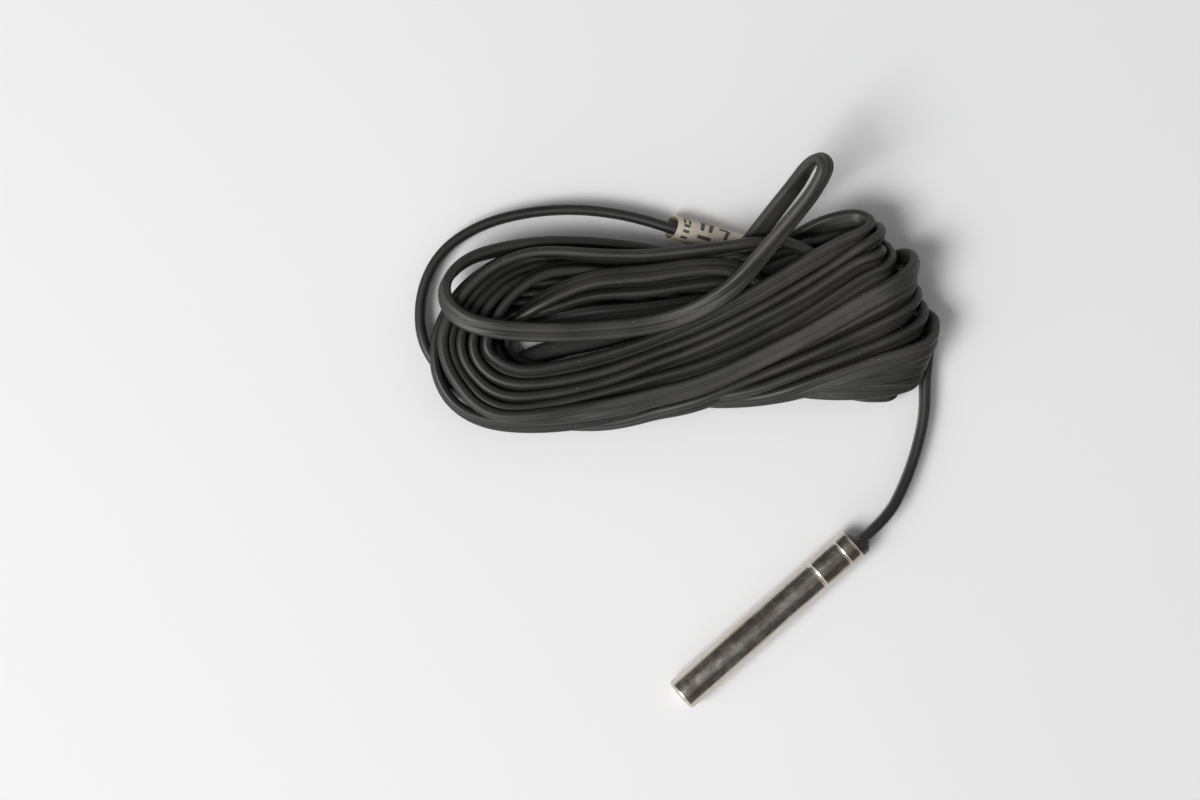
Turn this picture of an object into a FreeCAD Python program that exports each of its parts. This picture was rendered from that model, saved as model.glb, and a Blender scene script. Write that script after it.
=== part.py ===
"""Cable temperature sensor probe: a plated metal sleeve with a sensing element potted in its tip, a rubber
rear seal, and a flat two-core cord that is wound into a loose hank with a paper label near its far end.

Millimetres, +Z up. The sleeve lies along X on the surface z = 0, tip towards -X, and the origin is under
the middle of the sleeve and its seal."""
import FreeCAD, Part
import math
import os
import Sketcher

V = FreeCAD.Vector
X_AXIS, Z_AXIS = V(1, 0, 0), V(0, 0, 1)
ALONG_X = FreeCAD.Rotation(V(0, 1, 0), 90)

doc = FreeCAD.newDocument("temperature_probe")

# Driving dimensions
SIZES = {
    # metal sleeve, measured from its closed tip
    "sleeve_diameter": 6.0,
    "sleeve_wall": 0.4,
    "sleeve_length": 40.0,
    "tip_thickness": 0.6,
    "tip_rim_radius": 0.7,
    "crimp_from_mouth": 8.3,
    "crimp_depth": 0.3,
    "crimp_width": 0.9,
    "crimp_edge_radius": 0.2,
    "ring_from_mouth": 1.9,
    "ring_depth": 0.16,
    "ring_width": 0.5,
    "lip_inset": 0.18,
    # rear seal
    "seal_depth": 10.5,
    "seal_overhang": 2.6,
    "seal_lip_cover": 0.35,
    "seal_shoulder": 1.3,
    "shoulder_offset": 1.0,
    "shoulder_width": 3.4,
    "shoulder_height": 4.7,
    "exit_wall": 0.28,
    # flat two-core cord
    "cord_width": 3.4,
    "cord_thickness": 1.75,
    "cord_web": 1.3,
    "cord_offset": 0.45,
    "conductor_diameter": 0.6,
    "core_diameter": 1.4,
    "core_split": 5.5,
    "core_strip": 1.0,
    # splices inside the sleeve
    "splice_from_tip": 13.0,
    "splice_length": 3.0,
    "splice_diameter": 1.0,
    "sleeving_wall": 0.07,
    "sleeving_gap": 0.02,
    "sleeving_lead_cover": 1.5,
    "sleeving_core_cover": 2.0,
    # sensing element
    "element_setback": 1.0,
    "element_length": 2.3,
    "element_width": 2.0,
    "element_thickness": 0.65,
    "lead_diameter": 0.2,
    "lead_pitch": 1.0,
    "lead_on_element": 0.9,
    "lead_straight": 2.2,
    "bond_height": 0.45,
    "bond_margin": 0.15,
    "compound_length": 10.4,
    # label and free end of the cord
    "label_length": 12.5,
    "label_past_middle": 4.4,
    "label_wall": 0.15,
    "label_clearance": 0.35,
    "end_core_length": 9.0,
    "end_ferrule_length": 6.0,
    "end_ferrule_wall": 0.2,
    # hank
    "hank_height": 10.5,
    "hank_edge_radius": 3.0,
    "channel_clearance": 0.8,
}
sheet = doc.addObject("Spreadsheet::Sheet", "sizes")
for row, (alias, size) in enumerate(SIZES.items(), start=1):
    sheet.set(f"A{row}", alias)
    sheet.set(f"B{row}", str(size))
    sheet.setAlias(f"B{row}", alias)
doc.recompute()

# Places and radii that several pieces share, as expressions on the sheet
TIP = "-(sizes.sleeve_length + sizes.seal_overhang) / 2"
AXIS_HEIGHT = "sizes.sleeve_diameter / 2"
OUTER = "sizes.sleeve_diameter / 2"
BORE = "sizes.sleeve_diameter / 2 - sizes.sleeve_wall"
MOUTH = "sizes.sleeve_length"
EXIT = "sizes.sleeve_length + sizes.seal_overhang"
CRIMP = "sizes.sleeve_length - sizes.crimp_from_mouth"
RING = "sizes.sleeve_length - sizes.ring_from_mouth"
CRIMP_HALF = "sizes.crimp_width / 2"
RING_HALF = "sizes.ring_width / 2"
SEAL_START = "sizes.sleeve_length - sizes.seal_depth"
CORE_HEIGHT = "(sizes.cord_width - sizes.cord_thickness) / 2"
SPLICE_END = "sizes.splice_from_tip + sizes.splice_length"
CORES_START = f"{SPLICE_END} + sizes.core_strip"
JACKET_START = f"{CORES_START} + sizes.core_split"
ELEMENT_START = "sizes.tip_thickness + sizes.element_setback"
ELEMENT_END = f"{ELEMENT_START} + sizes.element_length"
COMPOUND_END = "sizes.tip_thickness + sizes.compound_length"
SLEEVING_RADIUS = "sizes.core_diameter / 2 + sizes.sleeving_gap + sizes.sleeving_wall"
SLEEVING_START = "sizes.splice_from_tip - sizes.sleeving_lead_cover"
SLEEVING_LENGTH = f"{CORES_START} + sizes.sleeving_core_cover - ({SLEEVING_START})"


def number(expression):
    """The value of an expression on the sheet, as a plain number."""
    return float(sheet.evalExpression(expression))


# Helpers for parametric bodies

def new_body(label):
    """A body in the probe's own frame: X from the tip along the sleeve's axis."""
    body = doc.addObject("PartDesign::Body", label)
    body.Label = label
    body.setExpression("Placement.Base.x", TIP)
    body.setExpression("Placement.Base.z", AXIS_HEIGHT)
    return body


def profile_sketch(body, name, points):
    """A closed polyline on the body's XY plane whose corners are pairs of expressions."""
    sketch = body.newObject("Sketcher::SketchObject", name)
    plane = next(p for p in body.Origin.OriginFeatures if p.Role == "XY_Plane")
    sketch.AttachmentSupport = [(plane, "")]
    sketch.MapMode = "FlatFace"
    corners = [V(number(x), number(y), 0) for x, y in points]
    count = len(corners)
    for i in range(count):
        sketch.addGeometry(Part.LineSegment(corners[i], corners[(i + 1) % count]), False)
    for i in range(count):
        sketch.addConstraint(Sketcher.Constraint("Coincident", i, 2, (i + 1) % count, 1))
    for i, (corner, expressions) in enumerate(zip(corners, points)):
        for kind, value, expression, axis in (
            ("DistanceX", corner.x, expressions[0], -2),
            ("DistanceY", corner.y, expressions[1], -1),
        ):
            if expression == "0":
                sketch.addConstraint(Sketcher.Constraint("PointOnObject", i, 1, axis))
                continue
            index = sketch.addConstraint(Sketcher.Constraint(kind, -1, 1, i, 1, value))
            constraint_name = f"{kind}_{i}"
            sketch.renameConstraint(index, constraint_name)
            sketch.setExpression(f"Constraints.{constraint_name}", expression)
    return sketch


def revolve(body, sketch, name):
    turned = body.newObject("PartDesign::Revolution", name)
    turned.Profile = sketch
    turned.ReferenceAxis = (sketch, ["H_Axis"])
    turned.Angle = 360
    doc.recompute()
    return turned


def ring_edges(feature, rings):
    """Names of the circular edges about the X axis at the given (x, radius) pairs."""
    names = []
    for x, radius in rings:
        for index, edge in enumerate(feature.Shape.Edges, start=1):
            curve = edge.Curve
            if not isinstance(curve, Part.Circle):
                continue
            if abs(curve.Center.x - x) < 1e-4 and abs(curve.Radius - radius) < 1e-4:
                names.append(f"Edge{index}")
    return names


def fillet_rings(body, base, name, rings, radius_expression):
    rounded = body.newObject("PartDesign::Fillet", name)
    rounded.Base = (base, ring_edges(base, rings))
    rounded.setExpression("Radius", radius_expression)
    doc.recompute()
    return rounded


def rod(name, start, length, radius, y="0", height="0"):
    """A cylinder along X, placed in the probe's frame by expressions."""
    cylinder = doc.addObject("Part::Cylinder", name)
    cylinder.Placement = FreeCAD.Placement(V(0, 0, 0), ALONG_X)
    cylinder.setExpression("Radius", radius)
    cylinder.setExpression("Height", length)
    cylinder.setExpression("Placement.Base.x", f"{TIP} + {start}")
    cylinder.setExpression("Placement.Base.y", y)
    cylinder.setExpression("Placement.Base.z", f"{AXIS_HEIGHT} + {height}")
    return cylinder


def block(name, corner, size):
    """A box with its lowest corner and its size given by expressions, in the probe's frame."""
    box = doc.addObject("Part::Box", name)
    for side, expression in zip(("Length", "Width", "Height"), size):
        box.setExpression(side, expression)
    box.setExpression("Placement.Base.x", f"{TIP} + {corner[0]}")
    box.setExpression("Placement.Base.y", corner[1])
    box.setExpression("Placement.Base.z", f"{AXIS_HEIGHT} + {corner[2]}")
    return box


def joined(name, pieces):
    whole = doc.addObject("Part::MultiFuse", name)
    whole.Shapes = pieces
    whole.Refine = True
    doc.recompute()
    return whole


def without(name, base, tool):
    cut = doc.addObject("Part::Cut", name)
    cut.Base = base
    cut.Tool = tool
    doc.recompute()
    return cut


nodes = {}


def keep(label, piece):
    """Records a finished sub-part under its own label."""
    piece.Label = label
    nodes[label] = piece
    return piece


# Metal sleeve: one drawn tube with a closed tip, a rolled crimp groove and a turned-in mouth
sleeve = new_body("sleeve")
sleeve_profile = [
    ("0", "0"),
    ("0", OUTER),
    (f"{CRIMP} - {CRIMP_HALF}", OUTER),
    (CRIMP, f"{OUTER} - sizes.crimp_depth"),
    (f"{CRIMP} + {CRIMP_HALF}", OUTER),
    (f"{RING} - {RING_HALF}", OUTER),
    (RING, f"{OUTER} - sizes.ring_depth"),
    (f"{RING} + {RING_HALF}", f"{OUTER} - sizes.lip_inset / 3"),
    (MOUTH, f"{OUTER} - sizes.lip_inset"),
    (MOUTH, f"{BORE} - sizes.lip_inset"),
    (f"{RING} + {RING_HALF}", f"{BORE} - sizes.lip_inset / 3"),
    (RING, f"{BORE} - sizes.ring_depth"),
    (f"{RING} - {RING_HALF}", BORE),
    (f"{CRIMP} + {CRIMP_HALF}", BORE),
    (CRIMP, f"{BORE} - sizes.crimp_depth"),
    (f"{CRIMP} - {CRIMP_HALF}", BORE),
    ("sizes.tip_thickness", BORE),
    ("sizes.tip_thickness", "0"),
]
sleeve_tube = revolve(sleeve, profile_sketch(sleeve, "sleeve_section", sleeve_profile), "sleeve_tube")
outer_radius = number(OUTER)
crimp_place = number(CRIMP)
crimp_half = number(CRIMP_HALF)
tip_rim = fillet_rings(sleeve, sleeve_tube, "tip_rim", [(0, outer_radius)], "sizes.tip_rim_radius")
crimp_shoulders = [(crimp_place - crimp_half, outer_radius), (crimp_place + crimp_half, outer_radius)]
fillet_rings(sleeve, tip_rim, "crimp_shoulders", crimp_shoulders, "sizes.crimp_edge_radius")
keep("sleeve", sleeve)

# Sensing element: a ceramic chip on edge, its two wires and the glass bond that holds them
WIRE_SIDE = "-sizes.cord_offset"
CHIP_NEAR = f"{WIRE_SIDE} + sizes.lead_diameter / 2"
chip = block(
    "element_chip",
    (ELEMENT_START, CHIP_NEAR, "-sizes.element_width / 2"),
    ("sizes.element_length", "sizes.element_thickness", "sizes.element_width"),
)
doc.recompute()
keep("element_chip", chip)


def straight_runs_and_arcs(points, closed=False):
    """Edges of a path through the points: straight runs joined by tangent arcs, and the arcs' radii."""
    count = len(points)
    corners = range(count) if closed else range(1, count - 1)
    arcs = {}
    radii = []
    for i in corners:
        before, point, after = points[i - 1], points[i], points[(i + 1) % count]
        arriving = (point - before).normalize()
        leaving = (after - point).normalize()
        turn = arriving.getAngle(leaving)
        reach = 0.45 * min((point - before).Length, (after - point).Length)
        radius = reach / math.tan(turn / 2)
        inward = (leaving - arriving).normalize()
        middle = point + inward * (radius / math.cos(turn / 2) - radius)
        arcs[i] = (point - arriving * reach, middle, point + leaving * reach)
        radii.append(radius)
    edges = []
    last = count if closed else count - 1
    for i in range(last):
        following = (i + 1) % count
        start = arcs[i][2] if i in arcs else points[i]
        end = arcs[following][0] if following in arcs else points[following]
        edges.append(Part.LineSegment(start, end).toShape())
        if following in arcs:
            edges.append(Part.Arc(*arcs[following]).toShape())
    return edges, radii


def round_tube(name, points, radius):
    """A solid round tube along a path, with its volume compared with section times length."""
    edges, radii = straight_runs_and_arcs(points)
    path = Part.Wire(edges)
    circle = Part.Circle(points[0], points[1] - points[0], radius)
    tube = path.makePipeShell([Part.Wire(circle.toShape())], True, False)
    expected = math.pi * radius ** 2 * path.Length
    print(f"{name}: {path.Length:.1f} mm, arcs {[round(r, 1) for r in radii]}")
    if abs(tube.Volume / expected - 1) > 0.01:
        raise RuntimeError(f"{name}: volume {tube.Volume:.2f}, expected {expected:.2f}")
    return tube


def feature(label, shape):
    """A sub-part whose shape is worked out from the sheet in this file."""
    piece = doc.addObject("Part::Feature", label)
    piece.Shape = shape
    return keep(label, piece)


tip_x = number(TIP)
axis_z = number(AXIS_HEIGHT)
wire_y = number(WIRE_SIDE)
core_height = number(CORE_HEIGHT)
lead_height = number("sizes.lead_pitch / 2")
lead_radius = number("sizes.lead_diameter / 2")
lead_start = tip_x + number(f"{ELEMENT_END} - sizes.lead_on_element")
lead_end = tip_x + number("sizes.splice_from_tip + sizes.splice_length / 2")
lead_bend = number("sizes.lead_straight")
SIDES = {"1": 1, "2": -1}
leads = {}
for index, side in SIDES.items():
    inner, outer = axis_z + side * lead_height, axis_z + side * core_height
    splice_face = tip_x + number("sizes.splice_from_tip")
    lead_points = [
        V(lead_start, wire_y, inner),
        V(lead_start + lead_bend, wire_y, inner),
        V(splice_face - lead_bend, wire_y, outer),
        V(lead_end, wire_y, outer),
    ]
    shape = round_tube(f"element_lead_{index}", lead_points, lead_radius)
    leads[index] = feature(f"element_lead_{index}", shape)

bond_block = block(
    "bond_block",
    (
        f"{ELEMENT_END} - sizes.lead_on_element - sizes.bond_margin",
        f"{CHIP_NEAR} - sizes.bond_height",
        "-sizes.element_width / 2 + sizes.bond_margin",
    ),
    (
        "sizes.lead_on_element + sizes.bond_margin",
        "sizes.bond_height",
        "sizes.element_width - 2 * sizes.bond_margin",
    ),
)
doc.recompute()
bond_round = doc.addObject("Part::Fillet", "bond_round")
bond_round.Base = bond_block
near_face_y = min(v.Y for v in bond_block.Shape.Vertexes)
bond_edges = [
    i for i, edge in enumerate(bond_block.Shape.Edges, start=1)
    if all(abs(v.Y - near_face_y) < 1e-6 for v in edge.Vertexes)
]
bond_radius = number("sizes.bond_height / 3")
bond_round.Edges = [(i, bond_radius, bond_radius) for i in bond_edges]
doc.recompute()
both_leads = joined("both_leads", list(leads.values()))
keep("element_bond", without("element_bond", bond_round, both_leads))

# Cord inside the sleeve: the two-lobed jacket, split into two cores, each round its copper conductor
conductors = {}
for index, side in SIDES.items():
    start = "sizes.splice_from_tip + sizes.splice_length / 2"
    conductors[index] = rod(
        f"conductor_{index}",
        start,
        f"{EXIT} - ({start})",
        "sizes.conductor_diameter / 2",
        WIRE_SIDE,
        f"{side} * {CORE_HEIGHT}",
    )
    keep(f"conductor_{index}", conductors[index])
both_conductors = joined("both_conductors", list(conductors.values()))

jacket_parts = []
for index, side in SIDES.items():
    height = f"{side} * {CORE_HEIGHT}"
    lobe = rod(
        f"lobe_{index}",
        JACKET_START,
        f"{EXIT} - ({JACKET_START})",
        "sizes.cord_thickness / 2",
        WIRE_SIDE,
        height,
    )
    core = rod(
        f"core_{index}",
        CORES_START,
        "sizes.core_split",
        "sizes.core_diameter / 2",
        WIRE_SIDE,
        height,
    )
    jacket_parts += [lobe, core]
web = block(
    "cord_web",
    (JACKET_START, f"{WIRE_SIDE} - sizes.cord_web / 2", f"-{CORE_HEIGHT}"),
    (f"{EXIT} - ({JACKET_START})", "sizes.cord_web", f"2 * {CORE_HEIGHT}"),
)
jacket = joined("jacket_solid", jacket_parts + [web])
keep("cord_entry", without("cord_entry", jacket, both_conductors))

# Splices and the insulating sleeving over them
splice_bores = joined("splice_bores", [both_leads, both_conductors])
sleeving_spaces = []
for index, side in SIDES.items():
    height = f"{side} * {CORE_HEIGHT}"
    barrel = rod(
        f"splice_barrel_{index}",
        "sizes.splice_from_tip",
        "sizes.splice_length",
        "sizes.splice_diameter / 2",
        WIRE_SIDE,
        height,
    )
    keep(f"splice_{index}", without(f"splice_{index}", barrel, splice_bores))
    space = rod(f"sleeving_space_{index}", SLEEVING_START, SLEEVING_LENGTH, SLEEVING_RADIUS, WIRE_SIDE, height)
    hollow = rod(
        f"sleeving_hollow_{index}",
        SLEEVING_START,
        SLEEVING_LENGTH,
        f"{SLEEVING_RADIUS} - sizes.sleeving_wall",
        WIRE_SIDE,
        height,
    )
    sleeving_spaces.append(space)
    keep(f"insulating_sleeve_{index}", without(f"insulating_sleeve_{index}", space, hollow))

# Fill: heat-conducting compound round the element, then potting resin up to the seal
inside = joined(
    "inside_pieces", [chip, bond_round, both_leads, jacket, both_conductors] + sleeving_spaces
)
compound = rod("compound_plug", "sizes.tip_thickness", "sizes.compound_length", BORE)
keep("thermal_compound", without("thermal_compound", compound, inside))
resin = rod("resin_plug", COMPOUND_END, f"{SEAL_START} - ({COMPOUND_END})", BORE)
keep("potting_resin", without("potting_resin", resin, inside))

# Rear seal: a plug that the crimp and the ring hold, and a head that draws down to the cord
seal_plug = new_body("seal_plug")
plug_profile = [
    (SEAL_START, "0"),
    (SEAL_START, BORE),
    (f"{CRIMP} - {CRIMP_HALF}", BORE),
    (CRIMP, f"{BORE} - sizes.crimp_depth"),
    (f"{CRIMP} + {CRIMP_HALF}", BORE),
    (f"{RING} - {RING_HALF}", BORE),
    (RING, f"{BORE} - sizes.ring_depth"),
    (f"{RING} + {RING_HALF}", f"{BORE} - sizes.lip_inset / 3"),
    (MOUTH, f"{BORE} - sizes.lip_inset"),
    (MOUTH, "0"),
]
revolve(seal_plug, profile_sketch(seal_plug, "plug_section", plug_profile), "plug_turned")


def oval(name, place, centre_y, half_width, half_height):
    """An upright ellipse across the sleeve's axis."""
    ellipse = doc.addObject("Part::Ellipse", name)
    ellipse.Placement = FreeCAD.Placement(V(0, 0, 0), FreeCAD.Rotation(V(0, 1, 0), -90))
    ellipse.setExpression("MajorRadius", half_height)
    ellipse.setExpression("MinorRadius", half_width)
    ellipse.setExpression("Placement.Base.x", f"{TIP} + {place}")
    ellipse.setExpression("Placement.Base.y", centre_y)
    ellipse.setExpression("Placement.Base.z", AXIS_HEIGHT)
    return ellipse


COVER = f"{BORE} - sizes.lip_inset + sizes.seal_lip_cover"
head = doc.addObject("Part::Loft", "seal_head")
head.Sections = [
    oval("head_base", MOUTH, "0", COVER, f"{COVER} + 0.001"),
    oval(
        "head_shoulder",
        f"{MOUTH} + sizes.seal_shoulder",
        "-sizes.shoulder_offset",
        "sizes.shoulder_width / 2",
        "sizes.shoulder_height / 2",
    ),
    oval(
        "head_exit",
        EXIT,
        WIRE_SIDE,
        "sizes.cord_thickness / 2 + sizes.exit_wall",
        "sizes.cord_width / 2 + sizes.exit_wall",
    ),
]
head.Solid = True
head.Ruled = False
doc.recompute()
cord_space = joined("cord_space", [jacket, both_conductors])
keep("rear_seal", without("rear_seal", joined("seal_solid", [seal_plug, head]), cord_space))

# The hank: the outer shape of the wound turns, with the opening through its middle
hank_outline = [
    V(-13.0, 72.5, 0),
    V(-5.0, 80.5, 0),
    V(4.5, 81.5, 0),
    V(17.0, 73.0, 0),
    V(36.0, 54.5, 0),
    V(54.0, 46.0, 0),
    V(61.0, 36.0, 0),
    V(57.0, 21.0, 0),
    V(46.5, 11.5, 0),
    V(31.0, 21.5, 0),
    V(5.0, 39.0, 0),
    V(-12.5, 54.0, 0),
    V(-16.5, 65.0, 0),
]
hank_opening = [
    V(-2.0, 66.0, 0),
    V(6.0, 66.5, 0),
    V(17.5, 57.0, 0),
    V(28.0, 46.5, 0),
    V(23.0, 44.5, 0),
    V(10.0, 50.5, 0),
    V(0.0, 58.0, 0),
]


def prism(points, height):
    edges, radii = straight_runs_and_arcs(points, closed=True)
    return Part.Face(Part.Wire(edges)).extrude(V(0, 0, height))


def hank_solid():
    """The turns' outer shape and opening under one level top, with the top's edges rounded."""
    height = number("sizes.hank_height")
    ring = prism(hank_outline, height).cut(prism(hank_opening, height))
    top = max(ring.Faces, key=lambda face: face.CenterOfMass.z)
    return ring.makeFillet(number("sizes.hank_edge_radius"), top.Edges)


# Routes of the stretches that aren't wound, from the seal to the free end
cord_radius = number("sizes.cord_width / 2")
exit_x = tip_x + number(EXIT)
lead_route = [
    V(exit_x, wire_y, axis_z),
    V(exit_x + 5.0, wire_y, axis_z),
    V(exit_x + 10.5, wire_y + 2.0, 2.1),
    V(37.5, 4.6, cord_radius),
    V(43.0, 8.6, cord_radius),
    V(47.0, 13.5, cord_radius),
    V(49.0, 19.5, cord_radius),
]
arch_route = [
    V(-1.0, 77.0, 8.0),
    V(-3.5, 72.0, 9.8),
    V(0.5, 67.0, 11.2),
    V(8.0, 60.0, 12.0),
    V(17.0, 53.0, 12.6),
    V(26.0, 47.8, 13.4),
    V(34.5, 46.0, 14.8),
    V(42.0, 47.3, 17.2),
    V(49.0, 49.6, 20.2),
    V(54.0, 51.8, 21.6),
    V(57.4, 53.8, 20.6),
    V(58.8, 55.2, 17.2),
    V(57.2, 55.6, 13.8),
    V(53.4, 55.0, 12.0),
    V(48.0, 53.9, 11.0),
    V(42.5, 52.3, 9.6),
    V(37.5, 50.0, 7.2),
]
tail_route = [
    V(-10.5, 61.0, 2.2),
    V(-14.3, 68.0, 2.2),
    V(-14.2, 75.5, 2.2),
    V(-9.5, 82.0, 2.0),
    V(-2.0, 85.5, 1.9),
    V(6.5, 84.5, 1.9),
    V(14.5, 80.5, 2.0),
    V(21.5, 75.0, 2.2),
    V(27.5, 68.0, 2.4),
    V(32.5, 59.6, 2.5),
    V(37.5, 52.6, 2.5),
    V(42.5, 46.6, 2.5),
]
hank_ring = hank_solid()
tail_end = tail_route[-1]
tail_direction = (tail_end - tail_route[-2]).normalize()

label_from, label_to = tail_route[-4], tail_route[-2]
label_way = (label_to - label_from).normalize()
label_inner = cord_radius + number("sizes.label_clearance")
label_outer = label_inner + number("sizes.label_wall")
label_length = number("sizes.label_length")
label_middle = (label_from + label_to) * 0.5 + label_way * number("sizes.label_past_middle")
label_start = label_middle - label_way * (label_length / 2)


def slot(start, way, length, radius):
    """A round-topped channel along a level line, open at the bottom."""
    vault = Part.makeCylinder(radius, length, start, way)
    trench = Part.makeBox(length, 2 * radius, 2 * start.z, V(0, -radius, -2 * start.z))
    trench.Placement = FreeCAD.Placement(start, FreeCAD.Rotation(X_AXIS, way)).multiply(trench.Placement)
    return vault.fuse(trench)


# Channels in the hank where the label and the free end of the cord are tucked under the turns
channel_gap = number("sizes.channel_clearance")
free_length = number("sizes.end_core_length + sizes.end_ferrule_length")
last_run = (tail_end - tail_route[-2]).Length
end_slot_start = tail_route[-2] - tail_direction * channel_gap
end_slot_length = last_run + free_length + 2 * channel_gap
end_slot = slot(end_slot_start, tail_direction, end_slot_length, cord_radius + channel_gap)
label_slot = slot(label_start, label_way, label_length + channel_gap, label_outer + channel_gap / 2)
hank_ring = hank_ring.cut(end_slot).cut(label_slot)
feature("cord_hank", hank_ring)

lead_tube = round_tube("cord_lead", lead_route, cord_radius).cut(hank_ring)
feature("cord_lead", lead_tube)
arch_tube = round_tube("cord_arch", arch_route, cord_radius).cut(hank_ring)
feature("cord_arch", arch_tube)
tail_tube = round_tube("cord_tail", tail_route, cord_radius).cut(hank_ring)
feature("cord_tail", tail_tube)

# Paper label rolled round the cord
paper = Part.makeCylinder(label_outer, label_length, label_start, label_way)
paper = paper.cut(Part.makeCylinder(label_inner, label_length, label_start, label_way))
feature("label", paper)

# Free end: two split cores with crimped end ferrules
across = tail_direction.cross(Z_AXIS).normalize()
core_radius = number("sizes.core_diameter / 2")
ferrule_inner = number("sizes.conductor_diameter / 2")
ferrule_outer = ferrule_inner + number("sizes.end_ferrule_wall")
core_length = number("sizes.end_core_length")
ferrule_length = number("sizes.end_ferrule_length")
for index, side in SIDES.items():
    core_start = tail_end + Z_AXIS * (side * core_height)
    core_shape = Part.makeCylinder(core_radius, core_length, core_start, tail_direction)
    feature(f"end_core_{index}", core_shape)
    ferrule_start = core_start + tail_direction * core_length
    ferrule = Part.makeCylinder(ferrule_outer, ferrule_length, ferrule_start, tail_direction)
    feature(f"end_ferrule_{index}", ferrule)

# Check every object, then write one file a sub-part
doc.recompute()
for item in doc.Objects:
    if "Invalid" in item.State or "Error" in item.State:
        raise RuntimeError(f"{item.Label} failed: {item.State}")
os.makedirs("parts", exist_ok=True)
for label, piece in nodes.items():
    shape = piece.Shape
    if shape.isNull() or not shape.isValid() or not shape.Solids:
        raise RuntimeError(f"{label} has no valid solid")
    print(f"{label}: {len(shape.Solids)} solid, {shape.Volume:.2f} mm3")
    shape.exportStep(f"parts/{label}.step")
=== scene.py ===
"""Looks of the cable temperature probe: a plated sleeve on a long flat black twin cord that is
wound into a loose hank, with a rolled paper label near its free end."""
import math

import bpy
import numpy as np
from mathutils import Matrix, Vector


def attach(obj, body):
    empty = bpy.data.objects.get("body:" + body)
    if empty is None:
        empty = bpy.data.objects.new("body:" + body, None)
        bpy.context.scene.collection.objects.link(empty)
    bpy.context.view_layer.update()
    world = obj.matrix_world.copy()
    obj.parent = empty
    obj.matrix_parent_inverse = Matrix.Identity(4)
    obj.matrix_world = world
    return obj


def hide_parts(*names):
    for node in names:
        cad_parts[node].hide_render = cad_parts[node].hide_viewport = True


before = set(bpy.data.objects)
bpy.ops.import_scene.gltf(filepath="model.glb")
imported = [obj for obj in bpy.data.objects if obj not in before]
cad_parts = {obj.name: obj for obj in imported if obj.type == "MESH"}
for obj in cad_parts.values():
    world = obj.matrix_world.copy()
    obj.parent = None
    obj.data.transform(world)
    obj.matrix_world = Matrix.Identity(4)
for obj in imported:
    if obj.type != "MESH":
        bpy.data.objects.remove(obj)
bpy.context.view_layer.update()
MM = 0.001


def deselect():
    """Lets go of everything, because an operator acts on all that is selected."""
    bpy.ops.object.select_all(action="DESELECT")


deselect()

# Camera, straight above the table: its right is the row's (0.750, -0.661), its up (0.661, 0.750)
CAMERA_HEIGHT = 450.0
CAMERA_OVER = (2.2, 47.7)
CAMERA_ROLL = math.radians(41.4)
PICTURE_SCALE = 5.73  # picture points to a millimetre on the table
PICTURE_CENTRE = (600.0, 400.0)
PICTURE_WIDTH = 1200.0

bpy.ops.object.camera_add(location=(CAMERA_OVER[0] * MM, CAMERA_OVER[1] * MM, CAMERA_HEIGHT * MM))
camera = bpy.context.object
camera.name = "camera"
camera.rotation_euler = (0, 0, -CAMERA_ROLL)
camera.data.angle = 2 * math.atan(PICTURE_WIDTH / 2 / PICTURE_SCALE / CAMERA_HEIGHT)
camera.data.clip_start = 0.01
camera.data.clip_end = 10
bpy.context.scene.camera = camera


def seen(x, y, height):
    """The point (mm) at that height above the table which the camera sees x, y points into the picture."""
    shrink = (1 - height / CAMERA_HEIGHT) / PICTURE_SCALE
    right = (x - PICTURE_CENTRE[0]) * shrink
    up = (PICTURE_CENTRE[1] - y) * shrink
    cos, sin = math.cos(CAMERA_ROLL), math.sin(CAMERA_ROLL)
    return (
        CAMERA_OVER[0] + right * cos + up * sin,
        CAMERA_OVER[1] - right * sin + up * cos,
        height,
    )


# Cord and label (mm)
CORD_WIDTH = 3.4
CORD_THICKNESS = 1.75
LOBE = (CORD_WIDTH - CORD_THICKNESS) / 2  # each core lies this far to the side of the middle
LOBE_RADIUS = CORD_THICKNESS / 2
TURNS = 13
LABEL_LENGTH = 12.5
LABEL_RADIUS = 2.2
LABEL_PAST_MIDDLE = 4.4  # the label's middle lies this far along from the middle of its run
END_LENGTH = 15.0  # split cores and their ferrules

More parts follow.
